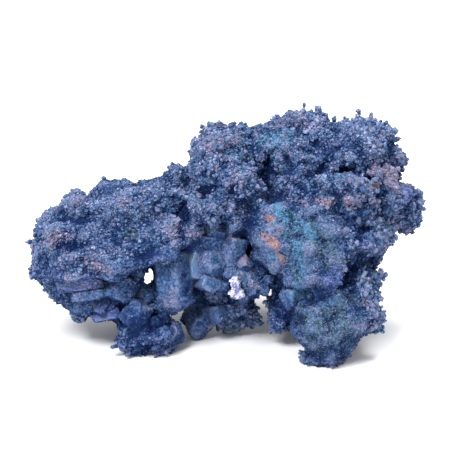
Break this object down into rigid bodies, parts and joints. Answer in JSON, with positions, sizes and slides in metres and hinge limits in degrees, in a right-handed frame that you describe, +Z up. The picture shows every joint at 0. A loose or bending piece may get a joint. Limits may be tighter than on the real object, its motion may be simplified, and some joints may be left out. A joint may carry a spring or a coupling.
{
  "type": "native copper cluster",
  "caption": "Freestanding cluster of native copper crystals: a lumpy slab and domes with flat-faced crystals underneath and a white calcite grain, resting on its own feet.",
  "frame": {"origin": "centre of the bounding box's underside, on the surface that the cluster rests on", "axes": "+X along the cluster's length to the right seen from the front, +Y to the back, +Z up"},
  "size_m": [0.1204, 0.0624, 0.0671],
  "materials": {
    "copper": "native copper with a slate-blue to violet tarnish, pinkish on the high grains, turquoise and orange on the broad front face, dull to satin",
    "calcite": "white, faintly violet, sugary calcite"
  },
  "bodies": {
    "root": {"native_copper_mass": "copper", "white_calcite_grain": "calcite"}
  },
  "joints": []
}
